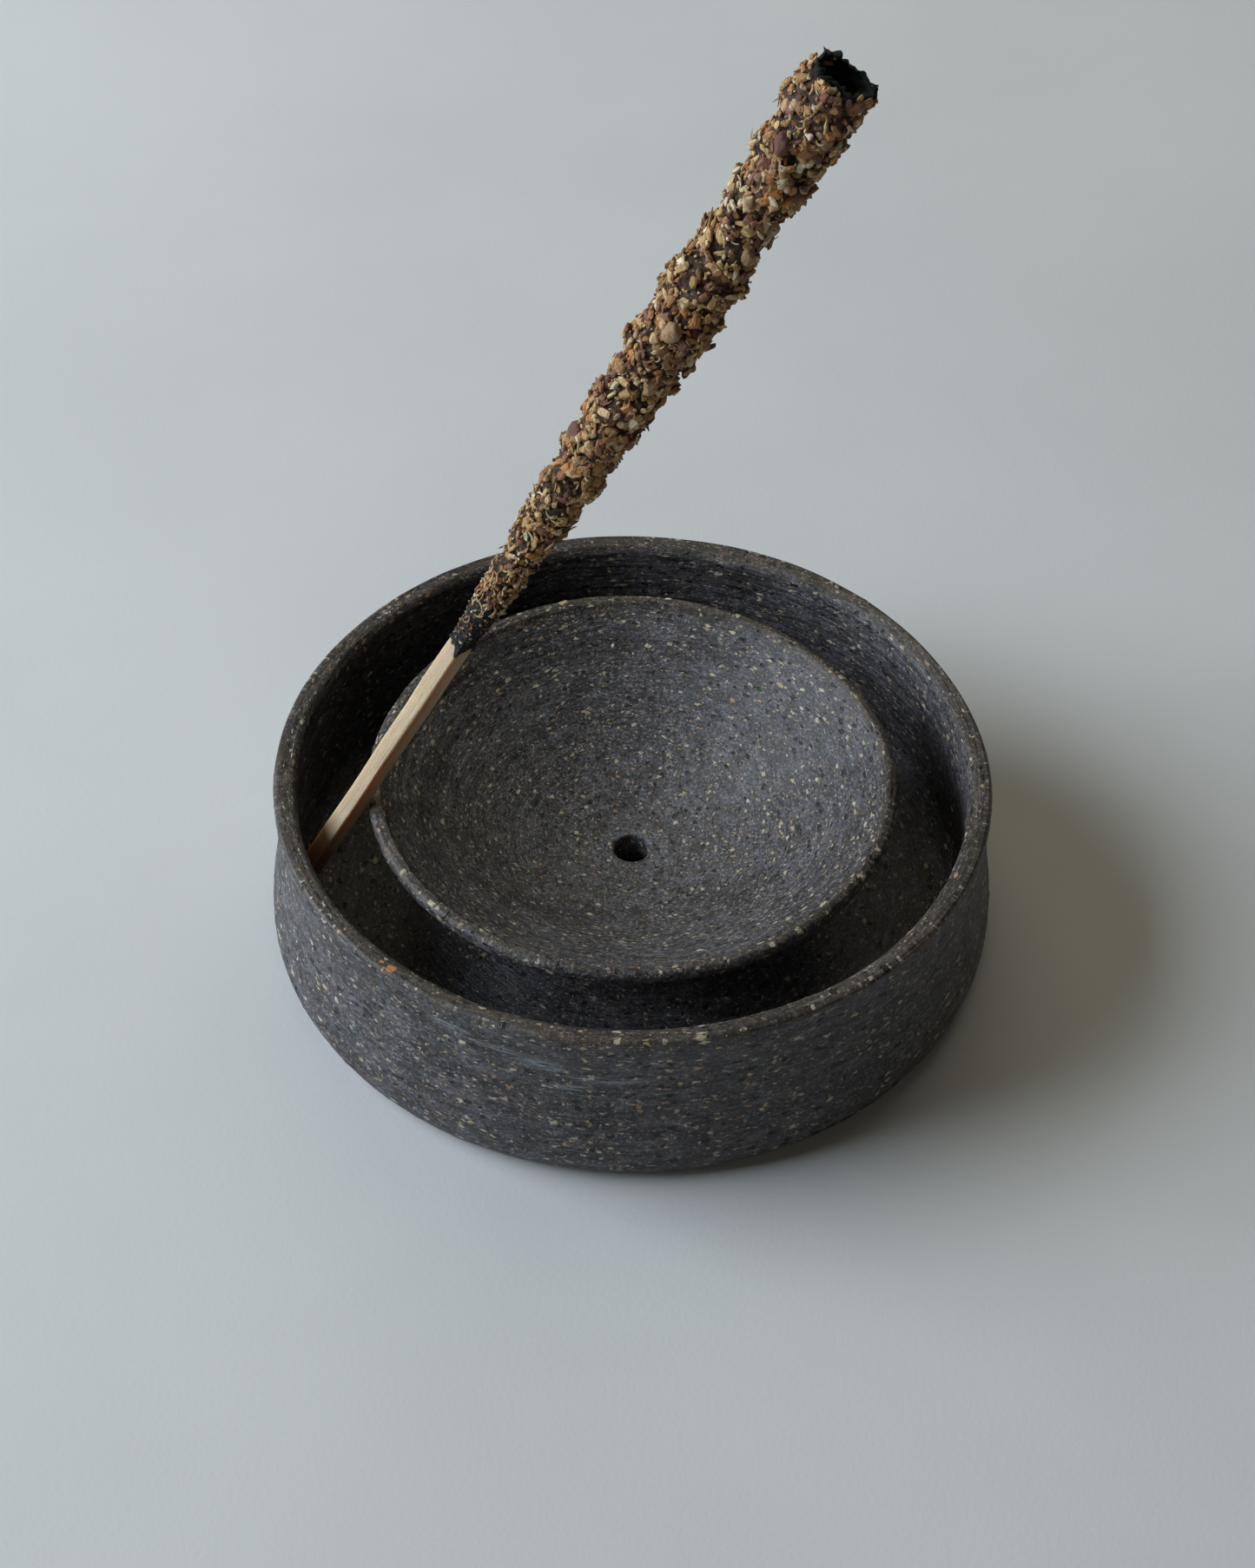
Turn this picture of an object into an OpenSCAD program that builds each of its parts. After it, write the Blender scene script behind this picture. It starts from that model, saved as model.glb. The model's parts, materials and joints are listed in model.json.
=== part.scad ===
// Stoneware incense burner: an ash bowl, a loose holder dish that stands in it, and one
// hand-rolled incense stick leaning in the gap between the two.
// Origin: centre of the flat base, on the surface it stands on. +Z up, -Y to the front.

/* [Ash bowl] */
// Diameter over the rim
bowl_d = 100; // [99:0.5:102]
// Height of the bowl
bowl_h = 27.5; // [27:0.5:29]
// Wall thickness at the rim
bowl_wall = 3.1; // [2.8:0.1:3.2]
// Thickness of the bowl's floor
floor_t = 5; // [4.5:0.1:5.2]
// How far the belly stands out past the rim
belly = 1.4; // [0.8:0.1:2]
// Height of the belly
belly_z = 4.5; // [4:0.5:6]
// How far the waist draws in from the rim
waist = 0.3; // [0:0.1:0.6]
// Height of the waist
waist_z = 20; // [18:0.5:22]
// Radius of the fillet between floor and wall inside
fillet_r = 4; // [3:0.5:5]
// Rounding of the rim's crisp outer edge
rim_outer = 0.6; // [0.4:0.1:1]
// Rounding of the rim's softer inner edge
rim_inner = 1.3; // [0.8:0.1:1.6]

/* [Holder dish] */
// Diameter over the dish's lip
dish_d = 74.4; // [73.6:0.2:74.4]
// Height of the top of the lip above the table
dish_top = 27.1; // [26.8:0.1:27.3]
// Thickness of the rounded lip
lip_t = 2.4; // [2:0.1:2.6]
// Height of the dish's inside at its centre
well_z = 11.9; // [11.5:0.1:12.5]
// Radius of the foot that stands on the bowl's floor
foot_r = 14; // [12:0.5:16]
// Wall thickness above the foot, measured upright
foot_wall = 4.9; // [4.5:0.1:5.5]
// Radius of the recess turned into the foot's underside
foot_recess_r = 9.5; // [8:0.5:10.5]
// Depth of that recess
foot_recess = 1.2; // [0.8:0.1:1.5]
// Diameter of the incense hole
hole_d = 5; // [4.5:0.1:5.5]

/* [Incense stick] */
// Width of the square wood core
core_w = 2.5; // [2.2:0.1:2.5]
// Direction of the stick's foot, seen from above
foot_angle = 189; // [187:0.5:191]
// Height of the middle of the stick's foot
stick_foot_z = 16.5; // [16:0.1:17]
// Lean from upright
lean = 30; // [29:0.5:30.5]
// Compass direction of the lean
lean_angle = 12; // [10:1:14]
// Turn of the square core about its own length
core_turn = 22; // [0:1:89]
// Bare wood from the foot to the incense
bare_wood = 43.6; // [40:0.2:48]
// Length of the incense coat
coat_len = 98.5; // [97:0.5:100]
// How much further down the foot's cut end goes on its inner side
foot_slant = 2; // [1:0.1:2.5]

/* [Pieces set in the coat] */
// Number of lumps and chips on the coat
bits = 48; // [30:1:48]
// Thickness of a chip
chip_t = 0.8; // [0.7:0.05:1]
// Width of a bark chip
bark_w = 2.2; // [1.8:0.1:2.4]
// Length of a bark chip
bark_l = 4.4; // [3.6:0.1:4.6]
// Width of a wood chip
wood_w = 1.5; // [1.2:0.1:1.8]
// Length of a wood chip
wood_l = 4; // [3.4:0.1:4.4]
// Width of a resin lump
lump_d = 2.4; // [2:0.1:2.6]

/* [Hidden] */
$fn = 96;
clay = [0.2, 0.18, 0.17];

rim_r = bowl_d / 2;
inner_r = rim_r - bowl_wall;
belly_r = rim_r + belly;
waist_r = rim_r - waist;
foot_round = 4;
base_r = belly_r - foot_round;
base_recess = 0.8;
base_recess_r = base_r - 7 - base_recess;

lip_r = lip_t / 2;
lip_c = dish_d / 2 - lip_r;
lip_cz = dish_top - lip_r;
lip_slope = 40;
lip_sweep = 75;
dish_in_r = lip_c - lip_r * sin(lip_slope);
dish_in_z = lip_cz + lip_r * cos(lip_slope);
dish_out_r = lip_c + lip_r * sin(lip_slope);
dish_out_z = lip_cz - lip_r * cos(lip_slope);

foot_inset = 1.9;
collar_len = 7;
collar_r = 1.95;
tip_len = 8.5;
tip_start = coat_len - tip_len;
tip_bore_r = 3.3;
tip_floor = 2;
notches = 5;
core_in_coat = tip_start - 2;
// Distance from the start of the coat, and radius of the paste there
paste_line = [[7, 2.15], [14, 2.3], [24, 2.7], [38, 3.3], [50, 3.8], [60, 4.3],
              [68, 4], [73, 3.7], [80, 4.1], [86, 4.5], [90, 4.5]];
bits_start = 14.5;
bits_pitch = (tip_start - 3.5 - bits_start) / bits;
golden = 137.5;

// Points of an arc about c, from angle a to angle b
function arc(c, r, a, b, n) = [for (i = [0:n]) c + r * [cos(a + (b - a) * i / n), sin(a + (b - a) * i / n)]];

// Half a cosine wave from 0 to 1
function ease(t) = (1 - cos(180 * t)) / 2;

// Outside radius of the bowl above its belly
function wall_r(z) = z < waist_z
    ? belly_r + (waist_r - belly_r) * ease((z - belly_z) / (waist_z - belly_z))
    : waist_r + (rim_r - waist_r) * ease((z - waist_z) / (bowl_h - rim_outer - waist_z));

// Height of the dish's inside at radius r: a parabola
function dish_in(r) = well_z + (dish_in_z - well_z) * pow(r / dish_in_r, 2);

// Upright thickness of the dish, thick over the foot and thin at the lip
function dish_wall(r) = foot_wall
    + (dish_in(dish_out_r) - dish_out_z - foot_wall) * (r - foot_r) / (dish_out_r - foot_r);

// Radius of the paste at a distance along the coat
function paste_r(s) = lookup(s, paste_line);

// Puts children in the stick's own frame: +Z along the stick, origin at its foot
module on_stick(along = 0) {
    foot_line_r = inner_r - foot_inset;
    translate([foot_line_r * cos(foot_angle), foot_line_r * sin(foot_angle), stick_foot_z])
        rotate([0, lean, lean_angle])
            translate([0, 0, along])
                children();
}

// Places the bits whose index i has (i mod 5) in kinds, on a spiral of golden angles
module each_bit(kinds) {
    for (i = [0:bits - 1])
        if (len(search(i % 5, kinds)) > 0) {
            s = bits_start + i * bits_pitch;
            rotate([0, 0, i * golden])
                translate([paste_r(s), 0, s])
                    rotate([25 * sin(i * 77), 0, 0])
                        children();
        }
}

// The paste without the hole for the core
module paste_body() {
    rotate_extrude()
        polygon(concat([[0, collar_len]], [for (p = paste_line) [p[1], p[0]]], [[0, tip_start]]));
}

// A block with its corners and edges broken off by two larger, turned blocks
module nugget(size) {
    breaker = 1.15 * size;
    intersection() {
        cube(size, center = true);
        rotate([45, 0, 20]) cube(breaker, center = true);
        rotate([0, 45, 50]) cube(breaker, center = true);
    }
}

module core_shape(length) {
    rotate([0, 0, core_turn])
        translate([-core_w / 2, -core_w / 2, 0])
            cube([core_w, core_w, length]);
}

module outer_bowl() {
    color(clay)
        rotate_extrude()
            polygon(concat(
                [[0, base_recess], [base_recess_r, base_recess], [base_recess_r + base_recess, 0]],
                [for (a = [-90:15:0]) [base_r + foot_round * cos(a), belly_z * (1 + sin(a))]],
                [for (i = [1:8]) let (z = belly_z + (waist_z - belly_z) * i / 8) [wall_r(z), z]],
                [for (i = [1:3]) let (z = waist_z + (bowl_h - rim_outer - waist_z) * i / 3) [wall_r(z), z]],
                arc([rim_r - rim_outer, bowl_h - rim_outer], rim_outer, 18, 90, 4),
                arc([inner_r + rim_inner, bowl_h - rim_inner], rim_inner, 90, 180, 6),
                arc([inner_r - fillet_r, floor_t + fillet_r], fillet_r, 0, -90, 6),
                [[0, floor_t]]));
}

module holder_dish() {
    steps = 12;
    color(clay)
        difference() {
            rotate_extrude()
                polygon(concat(
                    [[0, floor_t + foot_recess], [foot_recess_r, floor_t + foot_recess],
                     [foot_recess_r, floor_t], [foot_r, floor_t]],
                    [for (i = [0:steps])
                        let (r = foot_r + (dish_out_r - foot_r) * i / steps)
                            [r, dish_in(r) - dish_wall(r)]],
                    arc([lip_c, lip_cz], lip_r, lip_slope - lip_sweep, lip_slope + lip_sweep, 10),
                    [for (i = [steps:-1:0]) let (r = dish_in_r * i / steps) [r, dish_in(r)]]));
            cylinder(h = 2 * well_z, d = hole_d);
        }
}

module stick_core() {
    below = foot_slant + 1;
    color([0.85, 0.72, 0.52])
        on_stick()
            difference() {
                translate([0, 0, -below])
                    core_shape(below + bare_wood + core_in_coat);
                // The slanted cut of the foot
                translate([0, 0, -foot_slant / 2])
                    rotate([0, atan(foot_slant / (sqrt(2) * core_w)), 0])
                        translate([-2 * core_w, -2 * core_w, -4 * core_w])
                            cube(4 * core_w);
            }
}

module binder_collar() {
    color([0.08, 0.08, 0.1])
        on_stick(bare_wood)
            difference() {
                cylinder(h = collar_len, r1 = collar_r, r2 = paste_r(collar_len));
                translate([0, 0, -1]) core_shape(collar_len + 2);
            }
}

module incense_paste() {
    color([0.3, 0.22, 0.15])
        on_stick(bare_wood)
            difference() {
                paste_body();
                core_shape(core_in_coat);
            }
}

module bark_chips() {
    color([0.45, 0.2, 0.12])
        on_stick(bare_wood)
            difference() {
                each_bit([1, 3]) cube([chip_t, bark_w, bark_l], center = true);
                paste_body();
            }
}

module wood_chips() {
    color([0.7, 0.55, 0.36])
        on_stick(bare_wood)
            difference() {
                each_bit([2, 4]) cube([chip_t, wood_w, wood_l], center = true);
                paste_body();
            }
}

module resin_lumps() {
    color([0.55, 0.35, 0.18])
        on_stick(bare_wood)
            difference() {
                each_bit([0]) nugget(lump_d);
                paste_body();
            }
}

module charred_tip() {
    end_r = paste_r(tip_start);
    color([0.05, 0.05, 0.05])
        on_stick(bare_wood + tip_start)
            difference() {
                cylinder(h = tip_len, r1 = end_r, r2 = end_r - 0.2);
                translate([0, 0, tip_floor]) cylinder(h = tip_len, r = tip_bore_r);
                for (i = [0:notches - 1])
                    rotate([0, 0, i * 360 / notches + 20 * sin(i * 90)])
                        translate([end_r, 0, tip_len + 1])
                            rotate([45, 0, 0])
                                cube([3, 2 + i * 0.3, 2 + i * 0.3], center = true);
            }
}

outer_bowl();
holder_dish();
stick_core();
binder_collar();
incense_paste();
bark_chips();
wood_chips();
resin_lumps();
charred_tip();
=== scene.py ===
"""A stoneware incense burner: ash bowl, holder dish and a leaning hand-rolled incense stick.

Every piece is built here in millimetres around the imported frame, and stands for one CAD node.
"""

import json
import math
from functools import partial

import bpy
import numpy as np
from mathutils import Matrix, Vector


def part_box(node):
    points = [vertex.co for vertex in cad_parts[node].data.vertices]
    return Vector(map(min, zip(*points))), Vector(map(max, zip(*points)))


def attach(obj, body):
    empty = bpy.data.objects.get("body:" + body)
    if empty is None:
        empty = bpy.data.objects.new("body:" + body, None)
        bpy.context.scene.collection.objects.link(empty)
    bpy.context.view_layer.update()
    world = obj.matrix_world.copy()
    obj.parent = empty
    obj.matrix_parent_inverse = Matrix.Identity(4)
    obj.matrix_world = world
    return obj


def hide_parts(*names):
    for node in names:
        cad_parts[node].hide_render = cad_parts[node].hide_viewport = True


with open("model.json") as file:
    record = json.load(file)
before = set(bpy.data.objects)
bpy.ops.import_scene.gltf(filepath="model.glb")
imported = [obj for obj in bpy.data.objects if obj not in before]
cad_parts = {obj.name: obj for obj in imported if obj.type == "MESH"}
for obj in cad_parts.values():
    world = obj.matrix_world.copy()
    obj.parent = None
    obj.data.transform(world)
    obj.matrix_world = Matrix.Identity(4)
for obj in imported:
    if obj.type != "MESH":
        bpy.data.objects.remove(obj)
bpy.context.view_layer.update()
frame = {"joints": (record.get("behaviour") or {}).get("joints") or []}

MM = 0.001
TAU = 2 * math.pi
# Columns round each pot's mesh
POT_COLUMNS = 330


def node_box_mm(node):
    """The lowest and highest corners of a CAD node, in millimetres."""
    low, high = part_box(node)
    return np.array(low) / MM, np.array(high) / MM


BOWL_HIGH = node_box_mm("outer_bowl")[1]
DISH_LOW, DISH_HIGH = node_box_mm("holder_dish")

# Ash bowl
BELLY_R = BOWL_HIGH[0]
BOWL_H = BOWL_HIGH[2]
RIM_R = BELLY_R - 1.4
WAIST_R = RIM_R - 0.3
INNER_R = RIM_R - 3.1
BELLY_Z, WAIST_Z = 4.5, 20.0
FOOT_ROUND = 4.0
BASE_RECESS, BASE_RING = 0.8, 7.0
RIM_OUTER, RIM_INNER, RIM_FALL = 0.6, 1.3, 0.12
FILLET_R = 4.0
FLOOR_Z = DISH_LOW[2]

# Holder dish
LIP_R = 1.2
LIP_C = DISH_HIGH[0] - LIP_R
LIP_Z = DISH_HIGH[2] - LIP_R
LIP_SLOPE = math.radians(40)
WELL_Z = 11.9
HOLE_R = 2.5
DISH_FOOT_R = 14.0
DISH_FOOT_WALL = 4.9
FOOT_RECESS, FOOT_RECESS_R = 1.2, 9.5

# Incense stick: its own frame has +Z along the stick and its origin at the foot
JOINT = {joint["name"]: joint for joint in frame["joints"]}
STICK_AXIS = np.array(JOINT["stick_draw"]["axis"], float)
STICK_AXIS /= np.linalg.norm(STICK_AXIS)
FOOT_ANGLE = math.radians(189)
FOOT_LINE_R = INNER_R - 1.9
STICK_FOOT = np.array([FOOT_LINE_R * math.cos(FOOT_ANGLE), FOOT_LINE_R * math.sin(FOOT_ANGLE), 16.5])
LEAN = math.acos(STICK_AXIS[2])
LEAN_ANGLE = math.atan2(STICK_AXIS[1], STICK_AXIS[0])
CORE_W = 2.5
CORE_TURN = math.radians(22)
COAT_START = 43.6
COLLAR_LEN = 7.0
# Just inside the core's faces, so that no gap shows
SLEEVE_BORE_R = 1.2
TIP_START = 90.0
COAT_LEN = 98.5
FOOT_SLANT = 2.0
# The way round the stick to the core's ridge that faces the camera
FRONT_RIDGE = 4.31
# Distance from the start of the coat, and the outer radius of the lumpy coat there
COAT_LINE = ((0, 1.8), (3, 1.95), (8, 2.25), (14, 2.5), (21, 2.9), (25, 3.4), (37, 3.75), (50, 4.2),
             (62, 4.7), (67, 4.4), (73, 3.9), (77, 4.0), (82, 4.4), (87, 4.7), (92, 4.8), (98.5, 4.5))
COAT_WIDEST_R = max(radius for _, radius in COAT_LINE)
# Bits of the coat that stand out: distance along it, angle around it and size
PALE_FLAKES = ((94, 2.9, 2.2), (71, 2.9, 1.6), (66.5, 3.3, 1.9), (49, 2.9, 1.5))
ORANGE_FLAKES = ((81.3, 4.4, 3.0), (80.9, 4.9, 2.2), (34.5, 5.0, 2.4), (33, 3.7, 2.4), (33.7, 4.2, 2.0),
                 (96.3, 5.5, 2.4), (96.5, 2.5, 2.4), (61, 4.6, 2.2), (45.5, 4.4, 2.2))
DARK_TEARS = ((37.5, 3.05, 2.8), (87.5, 3.8, 2.7))
PALE_TEARS = ((58.3, 4.2, 3.0), (50, 4.6, 2.2), (72, 4.9, 2.2))


# ---- shapes

def arc(centre, radius, start, end, count):
    """Points of an arc, start and end in degrees, as (count, 2)."""
    angle = np.radians(np.linspace(start, end, count))
    return np.stack([centre[0] + radius * np.cos(angle), centre[1] + radius * np.sin(angle)], 1)


def line(start, end, count):
    """Evenly spaced points on a straight line, without its last point."""
    share = np.linspace(0, 1, count, endpoint=False)[:, None]
    return np.array(start) * (1 - share) + np.array(end) * share


def ease(share):
    """A smooth run from 0 to 1."""
    return (1 - np.cos(np.pi * share)) / 2


def waves(u, v, seed, count, reach_u, most_v, fall=0.0):
    """A smooth random field of u in mm and v in radians, that closes around v. Spread about 1.

    reach_u is the shortest and longest wave along u, and most_v is the most waves around.
    """
    rng = np.random.default_rng(seed)
    total = np.zeros(np.broadcast(u, v).shape)
    power = 0.0
    for _ in range(count):
        length = math.exp(rng.uniform(math.log(reach_u[0]), math.log(reach_u[1])))
        around = rng.integers(-most_v, most_v + 1)
        weight = length ** fall
        total += weight * np.cos(TAU * u / length + around * v + rng.uniform(0, TAU))
        power += weight ** 2 / 2
    return total / math.sqrt(power)


def add_marks(height, u, radius, seed, count, rows, size, stretch, depth):
    """Adds small dents or bumps to a (row, column) height field, spread evenly over its surface.

    rows is the range of rows that takes marks; size, stretch and depth are low and high limits in mm.
    """
    rng = np.random.default_rng(seed)
    columns = height.shape[1]
    choice = np.arange(rows[0], rows[1])
    chance = radius[choice] * np.gradient(u)[choice].clip(1e-6)
    picked = rng.choice(choice, count, p=chance / chance.sum())
    for row in picked:
        width = rng.uniform(*size)
        long = width * rng.uniform(*stretch)
        deep = rng.uniform(*depth)
        centre_u = u[row] + rng.uniform(-0.2, 0.2)
        first, last = np.searchsorted(u, [centre_u - 1.5 * width, centre_u + 1.5 * width])
        first, last = max(first, rows[0]), min(last, rows[1])
        step = TAU * max(radius[row], 1.0) / columns
        reach = int(1.5 * long / step) + 1
        column = rng.integers(columns)
        offset = np.arange(-reach, reach + 1)
        across = (u[first:last, None] - centre_u) / width
        along = offset[None, :] * step / long
        bump = deep * np.exp(-2.5 * (across ** 2 + along ** 2) ** 1.5)
        height[first:last, (column + offset) % columns] += bump


def new_object(name, points_mm, faces, smooth=True):
    """A mesh object from points in millimetres."""
    mesh = bpy.data.meshes.new(name)
    mesh.from_pydata((np.asarray(points_mm) * MM).tolist(), [], faces)
    mesh.validate()
    mesh.update()
    mesh.polygons.foreach_set("use_smooth", [smooth] * len(mesh.polygons))
    made = bpy.data.objects.new(name, mesh)
    bpy.context.scene.collection.objects.link(made)
    return made


def spun(radius, angle, z):
    """Points from their radius, angle and height, in one list."""
    return np.stack([radius * np.cos(angle), radius * np.sin(angle), z + 0 * radius], -1).reshape(-1, 3)


def grid_faces(rows, columns, wrap_rows=False):
    """Quads of a grid that closes around its columns, and around its rows too if wrap_rows."""
    last = rows if wrap_rows else rows - 1
    r, c = np.meshgrid(np.arange(last), np.arange(columns), indexing="ij")
    r2, c2 = (r + 1) % rows, (c + 1) % columns
    quads = np.stack([r * columns + c, r * columns + c2, r2 * columns + c2, r2 * columns + c], -1)
    return quads.reshape(-1, 4)


def end_faces(rows, columns):
    """The two faces that close the ends of a tube of rows."""
    last = (rows - 1) * columns
    return [list(range(columns))[::-1], list(range(last, last + columns))]


def joined(**stretches):
    """One outline made of named stretches, and the row at which each of them starts."""
    starts = np.cumsum([0] + [len(points) for points in stretches.values()])
    return np.concatenate(list(stretches.values())), dict(zip(stretches, starts))


def outline_frame(outline, closed):
    """Distance along an outline and its outward normals; the inside lies to the left of its run."""
    gaps = np.linalg.norm(np.diff(outline, axis=0), axis=1)
    step = np.roll(outline, -1, 0) - np.roll(outline, 1, 0) if closed else np.gradient(outline, axis=0)
    step /= np.linalg.norm(step, axis=1, keepdims=True).clip(1e-9)
    return np.concatenate([[0], np.cumsum(gaps)]), np.stack([step[:, 1], -step[:, 0]], 1)


def turned(name, outline, starts, relief, wobble, closed=False):
    """A turned solid: its outline spun round Z with relief along its normals, and a hand-made wobble.

    relief(u, angle, radius, starts) gives millimetres; wobble(radius, height, angle) a new radius and height.
    """
    u, normal = outline_frame(outline, closed)
    angle = np.linspace(0, TAU, POT_COLUMNS, endpoint=False)
    height = relief(u, angle, outline[:, 0], starts)
    radius = outline[:, :1] + height * normal[:, :1]
    z = outline[:, 1:] + height * normal[:, 1:]
    radius, z = wobble(radius, z, angle[None, :])
    faces = grid_faces(len(outline), POT_COLUMNS, closed).tolist()
    if not closed:
        faces += end_faces(len(outline), POT_COLUMNS)
    return new_object(name, spun(radius, angle, z), faces)


# ---- the two pots

def bowl_wall_r(z):
    """Radius of the bowl's outside: in from the belly to the waist, and out again to the rim."""
    below = BELLY_R + (WAIST_R - BELLY_R) * ease((z - BELLY_Z) / (WAIST_Z - BELLY_Z))
    top = BOWL_H - RIM_OUTER - WAIST_Z
    above = WAIST_R + (RIM_R - WAIST_R) * ease((z - WAIST_Z) / top)
    return np.where(z < WAIST_Z, below, above)


def bowl_outline():
    """From the middle of the base, out and up the wall, over the rim and in across the floor."""
    base_r = BELLY_R - FOOT_ROUND
    recess_r = base_r - BASE_RING
    foot = np.radians(np.linspace(-90, 0, 16))[:-1]
    z = np.linspace(BELLY_Z, BOWL_H - RIM_OUTER, 80)[:-1]
    return joined(
        recess=line((0.4, BASE_RECESS), (recess_r - 1, BASE_RECESS), 24),
        step=line((recess_r - 1, BASE_RECESS), (recess_r, 0), 4),
        base=line((recess_r, 0), (base_r, 0), 10),
        foot=np.stack([base_r + FOOT_ROUND * np.cos(foot), BELLY_Z * (1 + np.sin(foot))], 1),
        wall=np.stack([bowl_wall_r(z), z], 1),
        rim_outer=arc((RIM_R - RIM_OUTER, BOWL_H - RIM_OUTER), RIM_OUTER, 0, 86, 6),
        rim_top=line((RIM_R - RIM_OUTER, BOWL_H), (INNER_R + RIM_INNER, BOWL_H - RIM_FALL), 5),
        rim_inner=arc((INNER_R + RIM_INNER, BOWL_H - RIM_FALL - RIM_INNER), RIM_INNER, 90, 172, 8),
        inside=line((INNER_R, BOWL_H - RIM_FALL - 0.2 - RIM_INNER), (INNER_R, FLOOR_Z + FILLET_R), 56),
        fillet=arc((INNER_R - FILLET_R, FLOOR_Z + FILLET_R), FILLET_R, 0, -87, 16),
        floor=line((INNER_R - FILLET_R, FLOOR_Z), (DISH_FOOT_R + 2, FLOOR_Z), 60),
        under_dish=line((DISH_FOOT_R + 2, FLOOR_Z), (0.4, FLOOR_Z), 10),
    )


def bowl_relief(u, angle, radius, starts):
    """Throwing lines, slow unevenness, grit, pits, grains and scratches; the base is nearly smooth."""
    uu, vv = u[:, None], angle[None, :]
    height = 0.03 * waves(uu, vv, 3, 40, (0.9, 3.5), 3, 0.4)
    height += 0.05 * waves(uu, vv, 4, 24, (5, 16), 6, 0.5)
    height += 0.012 * waves(uu, vv, 5, 60, (0.5, 1.2), 40)
    mark = partial(add_marks, height, u, radius)
    rows = (starts["foot"], starts["under_dish"] - 2)
    mark(11, 900, rows, (0.25, 0.5), (0.9, 2.0), (-0.22, -0.08))
    mark(12, 1400, rows, (0.25, 0.45), (0.9, 1.4), (0.04, 0.12))
    mark(13, 90, rows, (0.3, 0.45), (7, 22), (-0.12, -0.04))
    rows = (0, starts["foot"])
    mark(14, 60, rows, (0.3, 0.7), (1, 3), (-0.15, 0.1))
    flat = (np.arange(len(u)) < starts["foot"])[:, None]
    return np.where(flat, height * 0.15 - 0.03, height)


def bowl_wobble(radius, z, angle):
    """The rim is a little oval and not quite level."""
    up = (z / BOWL_H).clip(0, 1) ** 2
    oval = 0.16 * np.cos(2 * angle + 0.7) + 0.1 * np.cos(3 * angle + 2.1) + 0.05 * np.cos(7 * angle)
    lift = 0.13 * np.cos(2 * angle + 1.9) + 0.08 * np.cos(5 * angle + 0.4) + 0.04 * np.cos(11 * angle)
    return radius + up * oval, np.maximum(z + up ** 3 * (lift - 0.1), 0)


def dish_in(r):
    """Height of the dish's inside at radius r: a parabola."""
    rim = LIP_C - LIP_R * math.sin(LIP_SLOPE)
    rim_z = LIP_Z + LIP_R * math.cos(LIP_SLOPE)
    return WELL_Z + (rim_z - WELL_Z) * (r / rim) ** 2


def dish_outline():
    """A closed outline: down the hole, out under the dish, round the lip and back to the hole."""
    outer_r = LIP_C + LIP_R * math.sin(LIP_SLOPE)
    outer_z = LIP_Z - LIP_R * math.cos(LIP_SLOPE)
    inner_r = LIP_C - LIP_R * math.sin(LIP_SLOPE)
    r = np.linspace(DISH_FOOT_R, outer_r, 76)[:-1]
    lip_wall = dish_in(outer_r) - outer_z
    wall = DISH_FOOT_WALL + (lip_wall - DISH_FOOT_WALL) * (r - DISH_FOOT_R) / (outer_r - DISH_FOOT_R)
    hole_round = 0.35
    mouth_r = HOLE_R + hole_round
    back = np.linspace(inner_r, mouth_r, 132)[1:]
    slope = math.degrees(LIP_SLOPE)
    foot_top = dish_in(DISH_FOOT_R) - DISH_FOOT_WALL
    recess_z = FLOOR_Z + FOOT_RECESS
    return joined(
        mouth=arc((mouth_r, dish_in(mouth_r) - hole_round), hole_round, 100, 180, 6),
        hole=line((HOLE_R, dish_in(HOLE_R) - 0.8), (HOLE_R, recess_z), 20),
        recess=line((HOLE_R, recess_z), (FOOT_RECESS_R, recess_z), 14),
        step=line((FOOT_RECESS_R, recess_z), (FOOT_RECESS_R + 0.4, FLOOR_Z), 3),
        foot=line((FOOT_RECESS_R + 0.4, FLOOR_Z), (DISH_FOOT_R - 0.4, FLOOR_Z), 8),
        foot_edge=line((DISH_FOOT_R - 0.4, FLOOR_Z), (DISH_FOOT_R, FLOOR_Z + 0.5), 3),
        foot_side=line((DISH_FOOT_R, FLOOR_Z + 0.5), (DISH_FOOT_R, foot_top), 12),
        under=np.stack([r, dish_in(r) - wall], 1),
        lip=arc((LIP_C, LIP_Z), LIP_R, slope - 90, slope + 90, 20),
        inside=np.stack([back, dish_in(back)], 1),
    )


def dish_relief(u, angle, radius, starts):
    """Like the bowl's relief, with rings near the lip; the foot and the hole are nearly smooth."""
    uu, vv = u[:, None], angle[None, :]
    height = 0.014 * waves(uu, vv, 23, 40, (0.9, 3.0), 2, 0.4)
    near_lip = np.interp(radius, [26, 34], [0, 1])[:, None]
    height += 0.03 * near_lip * waves(uu, vv, 26, 30, (0.8, 2.4), 2)
    height += 0.05 * waves(uu, vv, 24, 20, (5, 14), 4, 0.5)
    height += 0.008 * waves(uu, vv, 25, 60, (0.5, 1.1), 30)
    mark = partial(add_marks, height, u, radius)
    lip_side = starts["lip"] + 6
    rows = (lip_side, len(u) - 2)
    mark(31, 330, rows, (0.25, 0.45), (0.9, 1.8), (-0.25, -0.1))
    mark(32, 700, rows, (0.22, 0.4), (0.9, 1.4), (0.03, 0.1))
    mark(33, 40, rows, (0.25, 0.4), (6, 18), (-0.1, -0.03))
    rows = (starts["under"], lip_side)
    mark(34, 300, rows, (0.3, 0.6), (0.9, 2.0), (-0.3, -0.1))
    mark(35, 400, rows, (0.25, 0.5), (0.9, 1.4), (0.05, 0.14))
    hidden = (np.arange(len(u)) < starts["foot_side"])[:, None]
    return np.where(hidden, height * 0.1 - 0.03, height - 0.02)


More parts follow.
